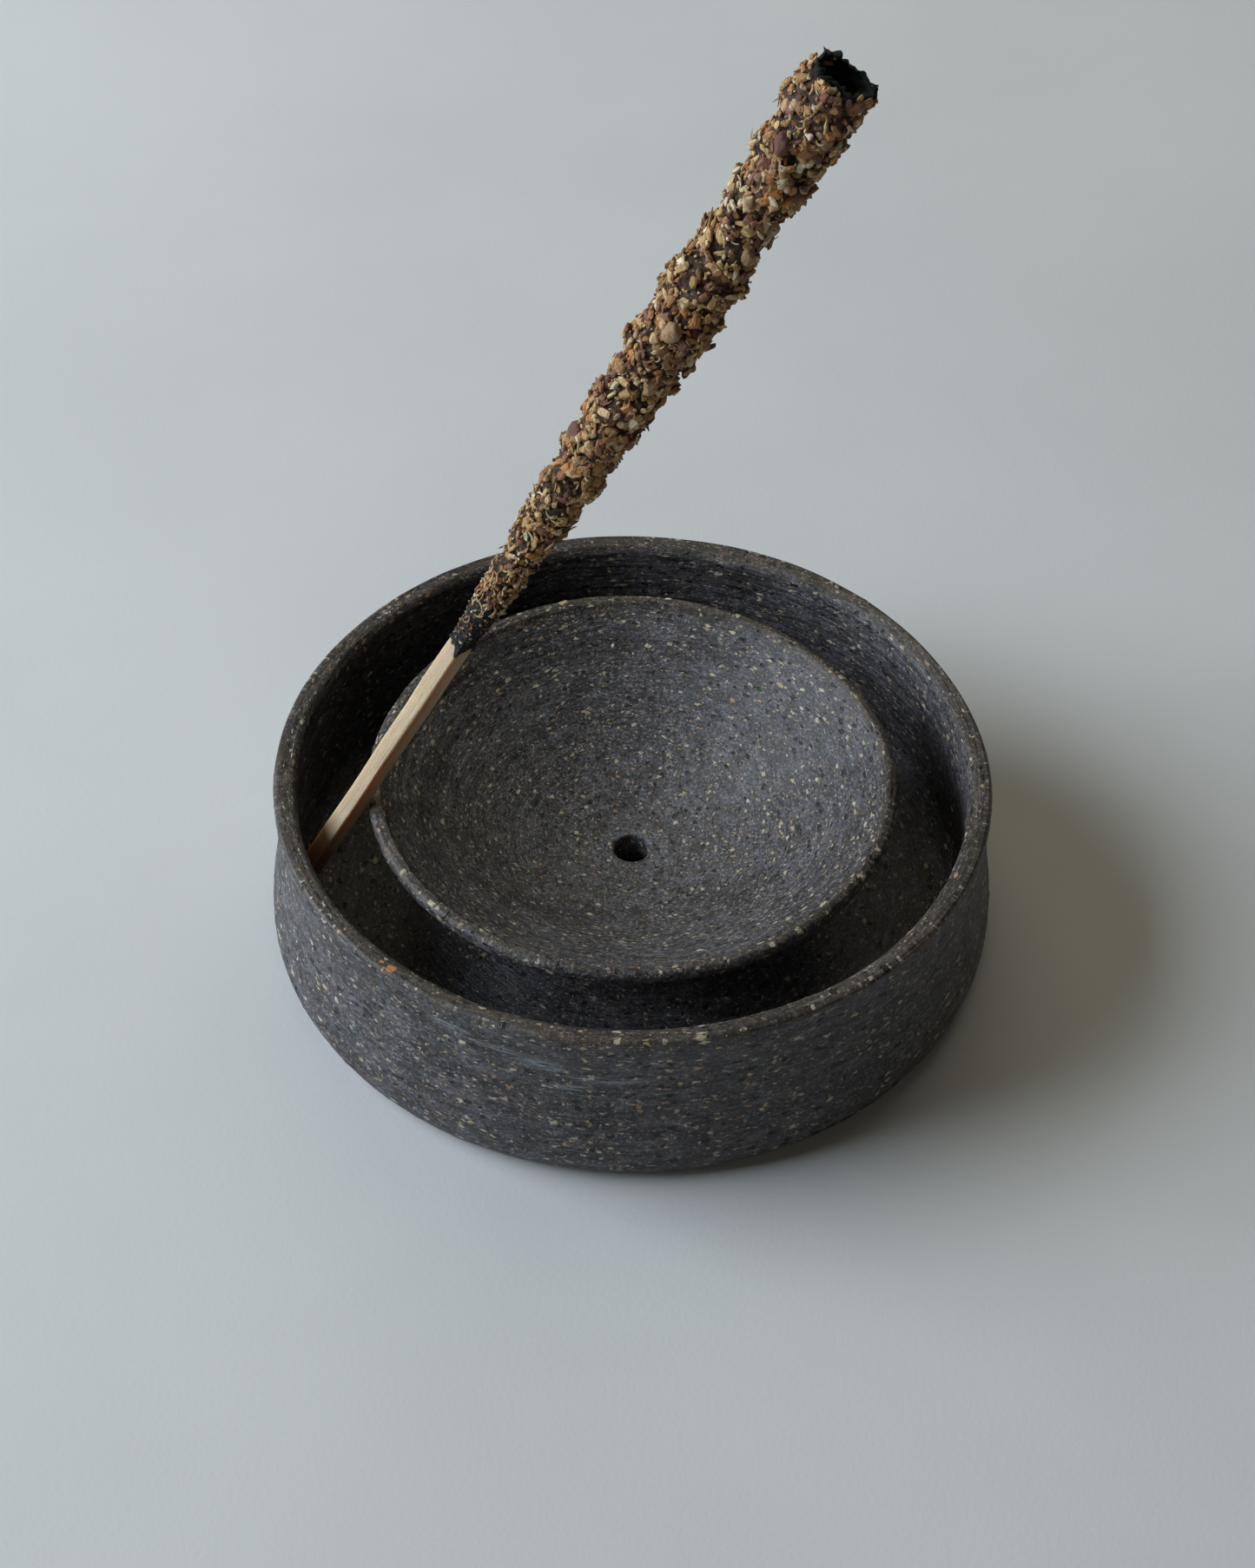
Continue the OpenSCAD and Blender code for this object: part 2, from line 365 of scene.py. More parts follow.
def dish_wobble(radius, z, angle):
    """The lip is a little oval and tilts a little."""
    up = ((z - FLOOR_Z) / (DISH_HIGH[2] - FLOOR_Z)).clip(0, 1) ** 2
    oval = 0.1 * np.cos(2 * angle + 2.4) + 0.07 * np.cos(3 * angle + 0.6)
    tilt = 0.3 * np.cos(angle - 2.2) + 0.1 * np.cos(3 * angle + 1.1)
    return radius + up * oval, z + up * (tilt - 0.15) * (radius / LIP_C).clip(0, 1) ** 2


# ---- the stick

def stick_frame():
    """The stick's own X, Y and Z directions, as rows."""
    x = (math.cos(LEAN) * math.cos(LEAN_ANGLE), math.cos(LEAN) * math.sin(LEAN_ANGLE), -math.sin(LEAN))
    y = (-math.sin(LEAN_ANGLE), math.cos(LEAN_ANGLE), 0)
    return np.array([x, y, STICK_AXIS])


STICK_ROWS = stick_frame()


def off_stick(points):
    """Points from the stick's own frame to the shared one, in millimetres."""
    return STICK_FOOT + np.asarray(points) @ STICK_ROWS


def coat_r(along):
    """Outside radius of the coat, chips included, at a distance from its start."""
    spots = np.array(COAT_LINE, float)
    return np.interp(along, spots[:, 0], spots[:, 1])


def coat_lumps(along, angle):
    """The coat's lumps: a share of its radius, more of it where the coat is thick."""
    slow = waves(along, angle, 51, 36, (6, 15), 3, 0.2)
    quick = waves(along, angle, 52, 40, (2.2, 5.5), 6)
    lumps = 0.11 * np.tanh(1.2 * slow) + 0.055 * quick
    return lumps * np.interp(along, [0, 8, 25], [0.2, 0.6, 1.0])


def gap(angle, centre):
    """The signed way round from centre to angle."""
    return (angle - centre + math.pi) % TAU - math.pi


def square_r(angle, half):
    """Radius of the core's square outline at an angle."""
    turn = angle - CORE_TURN
    return half / np.maximum(np.abs(np.cos(turn)), np.abs(np.sin(turn)))


def turn_rows(angle):
    """The matrix that turns row vectors by an angle."""
    return np.array([[math.cos(angle), math.sin(angle)], [-math.sin(angle), math.cos(angle)]])


def core_object():
    """The split square core: flat faces, barely rounded corners, a torn grain and a slanted foot."""
    half, corner, per_side = CORE_W / 2, 0.16, 8
    quarter = np.concatenate([
        line((half, -half + corner), (half, half - corner), per_side),
        arc((half - corner, half - corner), corner, 0, 90, 5)[:-1],
    ])
    corners = [quarter @ turn_rows(turn) for turn in np.arange(4) * math.pi / 2]
    ring = np.concatenate(corners) @ turn_rows(CORE_TURN)
    share = np.linspace(0, 1, 240)[:, None]
    foot = -FOOT_SLANT / 2 - FOOT_SLANT * ring[:, 0] / (math.sqrt(2) * CORE_W)
    along = foot + (COAT_START + TIP_START - 2 - foot) * share
    angle = np.arctan2(ring[:, 1], ring[:, 0])
    grain = 0.012 * waves(along / 14, angle[None, :], 61, 60, (0.6, 3), 26)
    waist = 0.02 * waves(along, angle[None, :], 62, 12, (18, 50), 2)
    points = np.zeros((len(along), len(ring), 3))
    points[..., :2] = ring[None] * (0.98 + grain + waist)[..., None]
    points[..., 2] = along
    points[0, :, 2] += np.abs(0.12 * waves(ring[:, 0], angle, 63, 8, (1, 3), 3))
    columns = len(ring)
    faces = grid_faces(len(along), columns).tolist() + end_faces(len(along), columns)
    return new_object("incense_core", off_stick(points.reshape(-1, 3)), faces)


def sleeve(name, low, high, outer, rows, columns):
    """A closed sleeve round the core. low and high give its ends, and outer its radius, by angle."""
    angle = np.linspace(0, TAU, columns, endpoint=False)
    share = np.linspace(0, 1, rows)[:, None]
    along = low(angle)[None, :] + (high(angle) - low(angle))[None, :] * share
    radius = np.concatenate([outer(along, angle[None, :]), np.full((2, columns), SLEEVE_BORE_R)])
    along = np.concatenate([along, along[-1:] - 0.05, along[:1] + 0.05])
    faces = grid_faces(rows + 2, columns, wrap_rows=True).tolist()
    return new_object(name, off_stick(spun(radius, angle, COAT_START + along)), faces)


def collar_low(angle):
    """The collar's lower edge: ragged, with a tongue that runs down the core's front ridge."""
    tongue = 0.9 * np.exp(-(gap(angle, FRONT_RIDGE) / 0.3) ** 2)
    return 0.3 * waves(0, angle, 74, 12, (1, 2), 9) - tongue


def collar_high(angle):
    """The collar's upper edge, hidden under the start of the paste."""
    return COLLAR_LEN + 1.5 + 0.3 * waves(0, angle, 75, 12, (1, 2), 9)


def collar_radius(along, angle):
    """Square like the core where the collar starts, and round where the coat takes over."""
    rough = 0.09 * waves(along, angle, 71, 50, (0.4, 2.0), 12)
    blend = np.interp(along, [0, 4.5], [0, 1])
    hugging = square_r(angle, CORE_W / 2) * 0.97 + np.interp(along, [-1.8, 0.5], [0.04, 0.22])
    smooth = hugging * (1 - blend) + (coat_r(along) - 0.15) * blend
    return smooth + rough * np.interp(along, [-1, 1], [0.2, 1])


def paste_low(angle):
    """The ragged edge where the paste runs out over the collar."""
    return COLLAR_LEN - 1 + 0.3 * waves(0, angle, 76, 12, (1, 2), 9)


def paste_high(angle):
    """The ragged edge where the paste meets the burnt tip."""
    return TIP_START + 0.3 * waves(0, angle, 77, 12, (1, 2), 9)


def paste_radius(along, angle):
    """The paste lies under the chips, lumpy and rough."""
    rough = 0.11 * waves(along, angle, 72, 80, (0.5, 1.8), 14)
    return (coat_r(along) - 0.45) * (1 + coat_lumps(along, angle)) + rough


class Bits:
    """Many small closed solids gathered into one mesh, each with its own tint and shade."""

    def __init__(self):
        self.points, self.faces, self.tints = [], [], []
        self.total = 0

    def add(self, shape, tint):
        points, faces = shape
        self.points.append(points)
        self.faces += [[i + self.total for i in face] for face in faces]
        self.tints += [tint] * len(points)
        self.total += len(points)

    def make(self, name, smooth=False):
        made = new_object(name, off_stick(np.concatenate(self.points)), self.faces, smooth)
        tints = made.data.color_attributes.new("tint", "FLOAT_COLOR", "POINT")
        values = np.ones((self.total, 4))
        values[:, :2] = self.tints
        tints.data.foreach_set("color", values.ravel())
        return made


def stacked(layers, count):
    """The faces of rings stacked on each other, closed by a middle point below and one above."""
    faces = grid_faces(layers, count).tolist()
    bottom, top = layers * count, layers * count + 1
    for i in range(count):
        after = (i + 1) % count
        faces.append([bottom, after, i])
        faces.append([top, (layers - 1) * count + i, (layers - 1) * count + after])
    return faces


def chip_shape(rng, length, width, thick, curl):
    """A torn flake: an irregular outline, thick in the middle, curled along its length."""
    count = 7
    turn = np.linspace(0, TAU, count, endpoint=False) + rng.uniform(-0.3, 0.3, count)
    reach = rng.uniform(0.65, 1.05, count)
    x, y = (reach * np.sign(wave) * np.abs(wave) ** 0.7 * size / 2
            for wave, size in ((np.cos(turn), length), (np.sin(turn), width)))
    layers = []
    for height, shrink in ((-0.5, 0.75), (0.05, 1.0), (0.5, 0.7)):
        uneven = rng.uniform(-0.12, 0.12, count) * thick
        layers.append(np.stack([x * shrink, y * shrink, height * thick + uneven], 1))
    middles = np.array([[0, 0, -0.5 * thick], [0, 0, 0.6 * thick]])
    points = np.concatenate([*layers, middles])
    points[:, 2] -= curl * points[:, 0] ** 2
    return points, stacked(3, count)


def curl_shape(length, width, bend):
    """A fine shaving, square in section, bent into an arc that lies flat."""
    stations = 7
    turn = np.linspace(-0.5, 0.5, stations) * bend
    radius = length / bend
    taper = np.array([0.4, 0.8, 1, 1, 1, 0.8, 0.4]) * width / 2
    rings = []
    for angle, half in zip(turn, taper):
        middle = np.array([math.sin(angle), 1 - math.cos(angle), 0]) * radius
        out = np.array([-math.sin(angle), math.cos(angle), 0])
        for side, rise in ((-1, -1), (-1, 1), (1, 1), (1, -1)):
            upward = np.array([0, 0, rise * half * 0.8 + 0.06 * angle])
            rings.append(middle + out * side * half + upward)
    ends = [np.mean(rings[:4], 0), np.mean(rings[-4:], 0)]
    return np.array(rings + ends), stacked(stations, 4)


def nugget_shape(rng, size):
    """A broken lump: a ball with slow waves and flat breaks on it."""
    rows, columns = 11, 14
    up = np.linspace(-1, 1, rows + 2)[1:-1] * math.pi / 2
    around = np.linspace(0, TAU, columns, endpoint=False)
    u, v = np.meshgrid(up, around, indexing="ij")
    ball = np.stack([np.cos(u) * np.cos(v), np.cos(u) * np.sin(v), np.sin(u)], -1)
    reach = np.ones(u.shape)
    for _ in range(9):
        way = rng.normal(size=3)
        way /= np.linalg.norm(way)
        reach = np.minimum(reach, rng.uniform(0.68, 0.9) / (ball @ way).clip(0.05))
    reach += 0.03 * rng.normal(size=u.shape)
    stretch = np.array([rng.uniform(1, 1.3), rng.uniform(0.85, 1.05), rng.uniform(0.7, 0.9)])
    points = (ball * reach[..., None] * stretch * size / 2).reshape(-1, 3)
    ends = np.array([[0, 0, -0.36], [0, 0, 0.36]]) * size * stretch[2]
    return np.concatenate([points, ends]), stacked(rows, columns)


def seated(rng, shape, along, angle, lift, spin, tilt):
    """A bit's shape laid on the coat, at a place along and around it."""
    points, faces = shape
    radial = np.array([math.cos(angle), math.sin(angle), 0])
    tangent = np.array([-math.sin(angle), math.cos(angle), 0])
    up = np.array([0, 0, 1.0])
    normal = radial + rng.normal(scale=tilt, size=3)
    normal /= np.linalg.norm(normal)
    long = math.cos(spin) * up + math.sin(spin) * tangent
    long -= normal * (long @ normal)
    long /= np.linalg.norm(long)
    side = np.cross(normal, long)
    radius = float((coat_r(along) - 0.4) * (1 + coat_lumps(np.array(along), np.array(angle))))
    centre = radial * (radius + lift) + up * (COAT_START + along)
    return centre + points @ np.array([long, side, normal]), faces


def tip_height(angle):
    """How far the burnt rim stands along the coat, with a splinter on the left."""
    splinter = 1.1 * np.exp(-(gap(angle, 2.53) / 0.4) ** 2)
    return COAT_LEN - 1.1 + splinter + 0.25 * np.cos(3 * angle + 1) + 0.2 * np.cos(7 * angle + 2)


def clean_tint(rng, along):
    """A colour and a shade at random; the shade falls where the coat is charred, at its ends."""
    clean = np.interp(along, [1, 6, 16, COAT_LEN - 2, COAT_LEN], [0.5, 0.7, 1.0, 1.0, 0.6])
    return rng.uniform(), rng.uniform(0.4, 1) * clean


def scatter(bits, shape, seed, count, stretch, lift, tilt):
    """Spreads up to count bits over a stretch of the coat, fewer where it is thin.

    shape(rng, along) gives a bit; lift is its low and high limits in mm, and tilt how far it leans.
    """
    rng = np.random.default_rng(seed)
    for _ in range(count):
        along = rng.uniform(*stretch)
        angle = rng.uniform(0, TAU)
        if rng.uniform() < coat_r(along) / COAT_WIDEST_R and along < tip_height(angle) - 0.5:
            made = shape(rng, along)
            placed = seated(rng, made, along, angle, rng.uniform(*lift), rng.normal(scale=0.9), tilt)
            bits.add(placed, clean_tint(rng, along))


def named_bits(bits, shape, seed, places, tint):
    """Sets the few bits that stand out, each given as (along, angle, size)."""
    rng = np.random.default_rng(seed)
    for along, angle, size in places:
        placed = seated(rng, shape(rng, size), along, angle, 0.1, rng.normal(scale=0.5), 0.1)
        bits.add(placed, (tint, 0.8))


def flake(rng, along, lengths, slim):
    """A flat chip, shorter where the coat is thin."""
    length = rng.uniform(*lengths) * np.interp(along, [5, 25], [0.5, 1.0])
    width = length * rng.uniform(*slim)
    return chip_shape(rng, length, width, rng.uniform(0.3, 0.6), rng.uniform(0, 0.08))


def wood_crumb(rng, _):
    length = rng.uniform(0.3, 0.75)
    return chip_shape(rng, length, length * rng.uniform(0.3, 1.0), rng.uniform(0.15, 0.3), 0)


def shaving(rng, _):
    return curl_shape(rng.uniform(0.8, 2.4), rng.uniform(0.14, 0.26), rng.uniform(0.4, 3.2))


def resin_crumb(rng, _):
    return nugget_shape(rng, rng.uniform(1.0, 2.0))


def flat_flake(rng, size):
    return chip_shape(rng, size, size * 0.7, 0.6, 0.05)


def wood_chips_object():
    bits = Bits()
    scatter(bits, partial(flake, lengths=(0.9, 2.8), slim=(0.3, 0.75)), 81, 2000, (8, 98), (-0.1, 0.35), 0.35)
    scatter(bits, wood_crumb, 82, 1300, (2, 97), (0.1, 0.5), 0.4)
    scatter(bits, wood_crumb, 80, 420, (1, 12), (0.1, 0.35), 0.4)
    scatter(bits, shaving, 83, 420, (4, 28), (0.2, 0.5), 0.25)
    scatter(bits, shaving, 84, 320, (28, 96), (0.25, 0.5), 0.3)
    named_bits(bits, flat_flake, 87, PALE_FLAKES, 0.98)
    return bits.make("pale_wood_chips")


def bark_chips_object():
    bits = Bits()
    scatter(bits, partial(flake, lengths=(0.9, 2.6), slim=(0.35, 0.8)), 85, 1100, (9, 98), (-0.1, 0.22), 0.3)
    named_bits(bits, flat_flake, 88, ORANGE_FLAKES, 0.97)
    return bits.make("bark_flakes")


def resin_object():
    bits = Bits()
    scatter(bits, resin_crumb, 86, 60, (26, 92), (-0.2, 0.2), 0.4)
    named_bits(bits, nugget_shape, 89, DARK_TEARS, 0.12)
    named_bits(bits, nugget_shape, 90, PALE_TEARS, 0.75)
    return bits.make("resin_tears", smooth=True)


def tip_object():
    """The burnt end: a hollow shell with a broken rim, charred inside and closed at its bottom."""
    columns, rows = 96, 24
    angle = np.linspace(0, TAU, columns, endpoint=False)
    rim = tip_height(angle) + 0.18 * waves(0, angle, 91, 30, (1, 2), 26)
    share = np.linspace(0, 1, rows)[:, None]
    base, floor = TIP_START - 0.5, TIP_START + 1.5
    outer_along = base + (rim[None, :] - base) * share
    rough = 0.1 * waves(outer_along, angle[None, :], 92, 50, (0.5, 1.6), 12)
    outer_r = (coat_r(outer_along) - 0.35) * (1 + coat_lumps(outer_along, angle[None, :])) + rough
    inner_along = rim[None, :] + (floor - rim[None, :]) * share
    pitted = 0.15 * waves(inner_along, angle[None, :], 93, 50, (0.6, 2), 9)
    inner_r = 3.0 + 0.6 * (1 - share) ** 1.5 + pitted
    disc_r = np.linspace(2.7, 0.05, 8)[:, None] * np.ones(columns)
    disc_along = floor + 0.2 * waves(disc_r, angle[None, :], 94, 30, (0.8, 2), 4)
    bottom_r = np.array([[0.05], [2.5]]) * np.ones(columns)
    radius = np.concatenate([outer_r, inner_r, disc_r, bottom_r])
    along = np.concatenate([outer_along, inner_along, disc_along, np.full((2, columns), base)])
    faces = grid_faces(len(radius), columns, wrap_rows=True).tolist()
    return new_object("burnt_tip", off_stick(spun(radius, angle, COAT_START + along)), faces)


# ---- colours

# Linear red, green and blue. A pair is dark and light. In a ramp, each colour follows its place from 0 to 1.
CLAY_DARK, CLAY_LIGHT = (0.02, 0.018, 0.021), (0.096, 0.095, 0.108)
SAND, PIT, RIM_TINT = (0.2, 0.19, 0.185), (0.01, 0.009, 0.008), (0.82, 0.66, 0.46)
ARC_BROWN, SCRATCH = (0.028, 0.022, 0.018), (0.2, 0.21, 0.23)
ORANGE, CREAM, SMEAR_BLUE = (0.5, 0.2, 0.06), (0.68, 0.66, 0.6), (0.25, 0.285, 0.315)
GROG = ((0.0, (0.48, 0.4, 0.26)), (0.4, (0.64, 0.57, 0.42)), (0.72, (0.5, 0.38, 0.22)),
        (0.92, (0.4, 0.2, 0.11)), (1.0, (0.7, 0.68, 0.62)))
WOOD = ((0.25, (0.4, 0.27, 0.15)), (0.45, (0.54, 0.41, 0.26)), (0.7, (0.63, 0.51, 0.36)))
# The last colour here is painted shade at the stick's foot, under the bowl's rim.
# The middle colour here is painted shade: a brown streak on the wood's face turned from the window.
WOOD_PORES, WOOD_SHADE_STREAK, WOOD_FOOT_SHADE = (0.36, 0.22, 0.11), (0.4, 0.22, 0.12), (0.3, 0.13, 0.045)
BINDER = ((0.004, 0.0045, 0.006), (0.026, 0.028, 0.034))
BINDER_FLECKS = ((0.0, (0.02, 0.02, 0.022)), (0.5, (0.12, 0.105, 0.075)), (1.0, (0.45, 0.4, 0.28)))
PASTE = ((0.04, 0.022, 0.016), (0.15, 0.09, 0.058))
CRUMBS = ((0.0, (0.1, 0.055, 0.036)), (0.4, (0.22, 0.135, 0.08)), (0.75, (0.36, 0.25, 0.14)),
          (1.0, (0.42, 0.34, 0.24)))
TORN_GRAIN, SOOTY = (0.12, 0.058, 0.03), (0.03, 0.022, 0.02)
SOOT = ((0.003, 0.003, 0.004), (0.014, 0.015, 0.019))
SOOT_FLECKS = ((0.0, (0.003, 0.003, 0.005)), (1.0, (0.03, 0.037, 0.05)))
CREAM_CHIPS = ((0.0, (0.24, 0.115, 0.05)), (0.3, (0.43, 0.24, 0.1)), (0.6, (0.59, 0.385, 0.175)),
               (0.85, (0.7, 0.52, 0.28)), (1.0, (0.82, 0.73, 0.53)))
BROWN_CHIPS = ((0.0, (0.12, 0.05, 0.036)), (0.4, (0.25, 0.105, 0.06)), (0.75, (0.38, 0.165, 0.066)),
               (0.9, (0.5, 0.2, 0.05)), (1.0, (0.6, 0.23, 0.045)))
RESIN_TEARS = ((0.0, (0.13, 0.048, 0.033)), (0.35, (0.22, 0.115, 0.075)), (0.7, (0.39, 0.235, 0.12)),
               (1.0, (0.48, 0.34, 0.19)))
FLOOR = ((0.64, 0.64, 0.635), (0.68, 0.68, 0.675))

# Single grains that stand out: place in mm, radius in mm and colour
BOWL_SPOTS = (((-31.9, -36.9, 27.4), 0.8, ORANGE), ((-33.2, -35.7, 27.4), 0.4, ORANGE),
              ((-47.0, -19.2, 7.6), 0.4, CREAM), ((-47.1, -19.1, 6.8), 0.35, CREAM))
DISH_SPOTS = (((5.1, 36.3, 26.9), 0.6, CREAM), ((-3.0, 30.5, 22.9), 0.45, CREAM),
              ((27.0, 12.0, 21.5), 0.45, ORANGE))
# Patches of pale blue scratches: place, and reach along X, Y and Z, in mm
BOWL_SMEARS = (((-11.5, -48.5, 21.0), (6.0, 4.0, 1.2)), ((-3.5, -49.7, 19.4), (7.0, 4.0, 1.0)),
               ((-8.0, -49.3, 17.6), (4.0, 4.0, 0.6)), ((-24.5, -43.5, 23.4), (4.5, 4.0, 0.9)),
               ((-18.0, -46.5, 22.2), (4.5, 4.0, 0.9)))


# ---- materials

class Paint:
    """Builds one node material. A value that is an output is linked, and any other is set."""

    def __init__(self, name):
        self.material = bpy.data.materials.new(name)
        self.material.use_nodes = True
        self.tree = self.material.node_tree
        self.shader = self.tree.nodes["Principled BSDF"]

    def feed(self, socket, value):
        if isinstance(value, bpy.types.NodeSocket):
            self.tree.links.new(value, socket)
        elif hasattr(socket.default_value, "__len__") and len(value) < len(socket.default_value):
            socket.default_value = (*value, 1)
        else:
            socket.default_value = value

    def node(self, kind, inputs=(), **settings):
        made = self.tree.nodes.new("ShaderNode" + kind)
        for key, value in settings.items():
            setattr(made, key, value)
        for key, value in dict(inputs).items():
            self.feed(made.inputs[key], value)
        return made

    def maths(self, operation, a, b=0.0, clamp=False):
        return self.node("Math", {0: a, 1: b}, operation=operation, use_clamp=clamp).outputs[0]

    def times(self, a, b):
        return self.maths("MULTIPLY", a, b)

    def total(self, *terms):
        """The sum of (value, weight) pairs."""
        result = 0.0
        for value, weight in terms:
            made = self.node("Math", {0: value, 1: weight, 2: result}, operation="MULTIPLY_ADD")
            result = made.outputs[0]
        return result

    def vector(self, operation, a, b=(0, 0, 0)):
        made = self.node("VectorMath", {0: a, 1: b}, operation=operation)
        return made.outputs["Value" if operation in ("DOT_PRODUCT", "LENGTH", "DISTANCE") else "Vector"]

    def scaled(self, a, by):
        return self.node("VectorMath", {0: a, "Scale": by}, operation="SCALE").outputs["Vector"]

    def join(self, x, y, z):
        return self.node("CombineXYZ", {"X": x, "Y": y, "Z": z}).outputs[0]

    def split(self, a):
        return self.node("SeparateXYZ", {"Vector": a}).outputs

    def step(self, value, low, high, to_low=0.0, to_high=1.0):
        """A smooth step as value goes from low to high."""
        inputs = {"Value": value, "From Min": low, "From Max": high, "To Min": to_low, "To Max": to_high}
        return self.node("MapRange", inputs, interpolation_type="SMOOTHSTEP").outputs[0]

    def noise(self, at, scale, detail=4.0, rough=0.55):
        inputs = {"Vector": at, "Scale": scale, "Detail": detail, "Roughness": rough}
        return self.node("TexNoise", inputs).outputs["Fac"]

    def warped(self, at, scale, amount):
        """Places pushed about by a noise, so that spots on them aren't round."""
        made = self.node("TexNoise", {"Vector": at, "Scale": scale, "Detail": 2.0})
        push = self.vector("SUBTRACT", made.outputs["Color"], (0.5, 0.5, 0.5))
        return self.vector("ADD", at, self.scaled(push, amount))

    def mix(self, share, a, b, blend="MIX"):
        made = self.node("Mix", data_type="RGBA", blend_type=blend)
        self.feed(made.inputs[0], share)
        self.feed(made.inputs[6], a)
        self.feed(made.inputs[7], b)
        return made.outputs[2]

    def ramp(self, value, *stops):
        made = self.node("ValToRGB", {"Fac": value})
        points = made.color_ramp.elements
        while len(points) < len(stops):
            points.new(0.5)
        for point, (place, colour) in zip(points, stops):
            point.position = place
            point.color = (*colour, 1)
        return made.outputs[0]

    def specks(self, at, scale, share, size, soft=0.08):
        """Scattered spots: how much of a spot is here, and a random number for it.

        share is the part of the cells that hold a spot, and size its low and high radius in cells.
        """
        cells = self.node("TexVoronoi", {"Vector": at, "Scale": scale})
        chance = self.node("SeparateColor", {"Color": cells.outputs["Color"]}).outputs
        reach = self.total((chance[1], size[1] - size[0]), (size[0], 1.0))
        depth = self.maths("SUBTRACT", reach, cells.outputs["Distance"])
        inside = self.maths("DIVIDE", depth, soft, clamp=True)
        return self.times(inside, self.maths("LESS_THAN", chance[0], share)), chance[2]

    def bump(self, height, distance_mm):
        return self.node("Bump", {"Height": height, "Distance": distance_mm * MM}).outputs[0]

    def finish(self, colour, roughness, normal=None, specular=0.5):
        self.feed(self.shader.inputs["Base Color"], colour)
        self.feed(self.shader.inputs["Roughness"], roughness)
        self.shader.inputs["Specular IOR Level"].default_value = specular
        if normal is not None:
            self.feed(self.shader.inputs["Normal"], normal)
        return self.material

    def place(self):
        """The place on the piece, in millimetres."""
        return self.scaled(self.node("TexCoord").outputs["Object"], 1 / MM)


class Clay(Paint):
    """Dark unglazed clay: the places and noises that its layers share, and the layers of its colour."""

    # Further from the middle than this, in mm, the grains are drawn out
    DRAWN_FROM = 16.0

    def __init__(self, name, shift, rim_r, lines):
        """shift moves the pattern, and lines is how strong the throwing lines are."""
        super().__init__(name)
        self.lines = lines
        self.here = self.place()
        x, y, self.z = self.split(self.here)
        flat = self.join(x, y, 0.0)
        self.radius = self.vector("LENGTH", flat)
        self.outward = self.vector("NORMALIZE", flat)
        self.rise = self.maths("ADD", self.radius, self.z)
        at = self.vector("ADD", self.here, (shift, shift, 0))
        drawn = self.drawn_out(shift, rim_r)
        self.pushed = self.warped(drawn, 2.0, 0.9)
        self.cloud = self.noise(at, 0.1, 3)
        self.streak = self.noise(self.rings(4.0, 1.5), 1.0, 5, 0.6)
        self.fine_streak = self.noise(self.rings(9.0, 4.0), 1.0, 3, 0.6)
        self.scratch = self.noise(self.rings(5.0, 3.0, shift), 1.0, 2)
        self.sand = self.noise(drawn, 2.3, 3, 0.75)
        self.hue = self.noise(drawn, 0.9, 3, 0.6)
        self.mottle = self.noise(drawn, 0.5, 4, 0.7)
        self.grain = self.noise(at, 3.0, 2, 0.6)

    def drawn_out(self, shift, rim_r):
        """Places that stretch grains along the throwing direction, away from the middle."""
        within = self.maths("MINIMUM", self.radius, rim_r - 0.6)
        past = self.maths("MAXIMUM", self.maths("SUBTRACT", within, self.DRAWN_FROM), 0.0)
        near = self.total((self.maths("MINIMUM", self.radius, self.DRAWN_FROM), 1.0), (past, 0.35))
        x, y, _ = self.split(self.vector("MULTIPLY", self.outward, self.join(near, near, near)))
        return self.join(x, y, self.total((self.z, 1.0), (past, 0.94), (shift, 1.0)))

    def rings(self, around, across, shift=0.0):
        """Places for a noise in rings: how fast it changes around the pot and across it."""
        up = self.join(shift, 0.0, self.times(self.rise, across))
        return self.vector("ADD", self.scaled(self.outward, around), up)

    def tinted(self, colour, value, *stops):
        return self.mix(1.0, colour, self.ramp(value, *stops), "MULTIPLY")

    def bare(self):
        """The clay without grog: lines, sand, a slow change of hue, and a granular mottle."""
        tone = self.total((self.streak, 0.6 * self.lines), (self.cloud, 0.3),
                          (self.fine_streak, 0.4 * self.lines), (self.sand, 0.8 - 0.5 * self.lines))
        middle = (1.1 + 0.5 * self.lines) / 2
        colour = self.mix(self.step(tone, middle - 0.16, middle + 0.17), CLAY_DARK, CLAY_LIGHT)
        colour = self.mix(self.step(self.sand, 0.48, 0.68, 0.0, 0.65), colour, SAND)
        colour = self.tinted(colour, self.hue, (0.35, (1.1, 0.97, 0.9)), (0.65, (0.9, 0.99, 1.12)))
        colour = self.tinted(colour, self.mottle, (0.4, (0.66, 0.65, 0.6)), (0.6, (1.36, 1.36, 1.34)))
        return self.tinted(colour, self.grain, (0.4, (0.7, 0.7, 0.7)), (0.62, (1.4, 1.38, 1.36)))

    def with_throwing(self, colour):
        """Brown arcs towards the rim, and pale scratches round the pot."""
        outer = self.step(self.radius, 24, 34)
        arcs = self.times(outer, self.step(self.fine_streak, 0.5, 0.64, 0.0, 0.4))
        colour = self.mix(arcs, colour, ARC_BROWN)
        return self.mix(self.step(self.scratch, 0.62, 0.74, 0.0, 0.7 * self.lines), colour, SCRATCH)

    def with_rim(self, colour, rim_z, rim_r):
        """A browner rim."""
        near_top = self.step(self.z, rim_z - 1.4, rim_z - 0.2)
        near_edge = self.step(self.radius, rim_r - 4.0, rim_r - 2.6)
        patchy = self.step(self.streak, 0.4, 0.6, 0.5, 1.0)
        rim = self.times(self.times(near_top, near_edge), patchy)
        return self.mix(rim, colour, RIM_TINT, "MULTIPLY")

    def grains(self, offset, scale, share, size, soft):
        """Specks that are drawn out like the clay; each set has its own offset."""
        return self.specks(self.vector("ADD", self.pushed, offset), scale, share, size, soft)

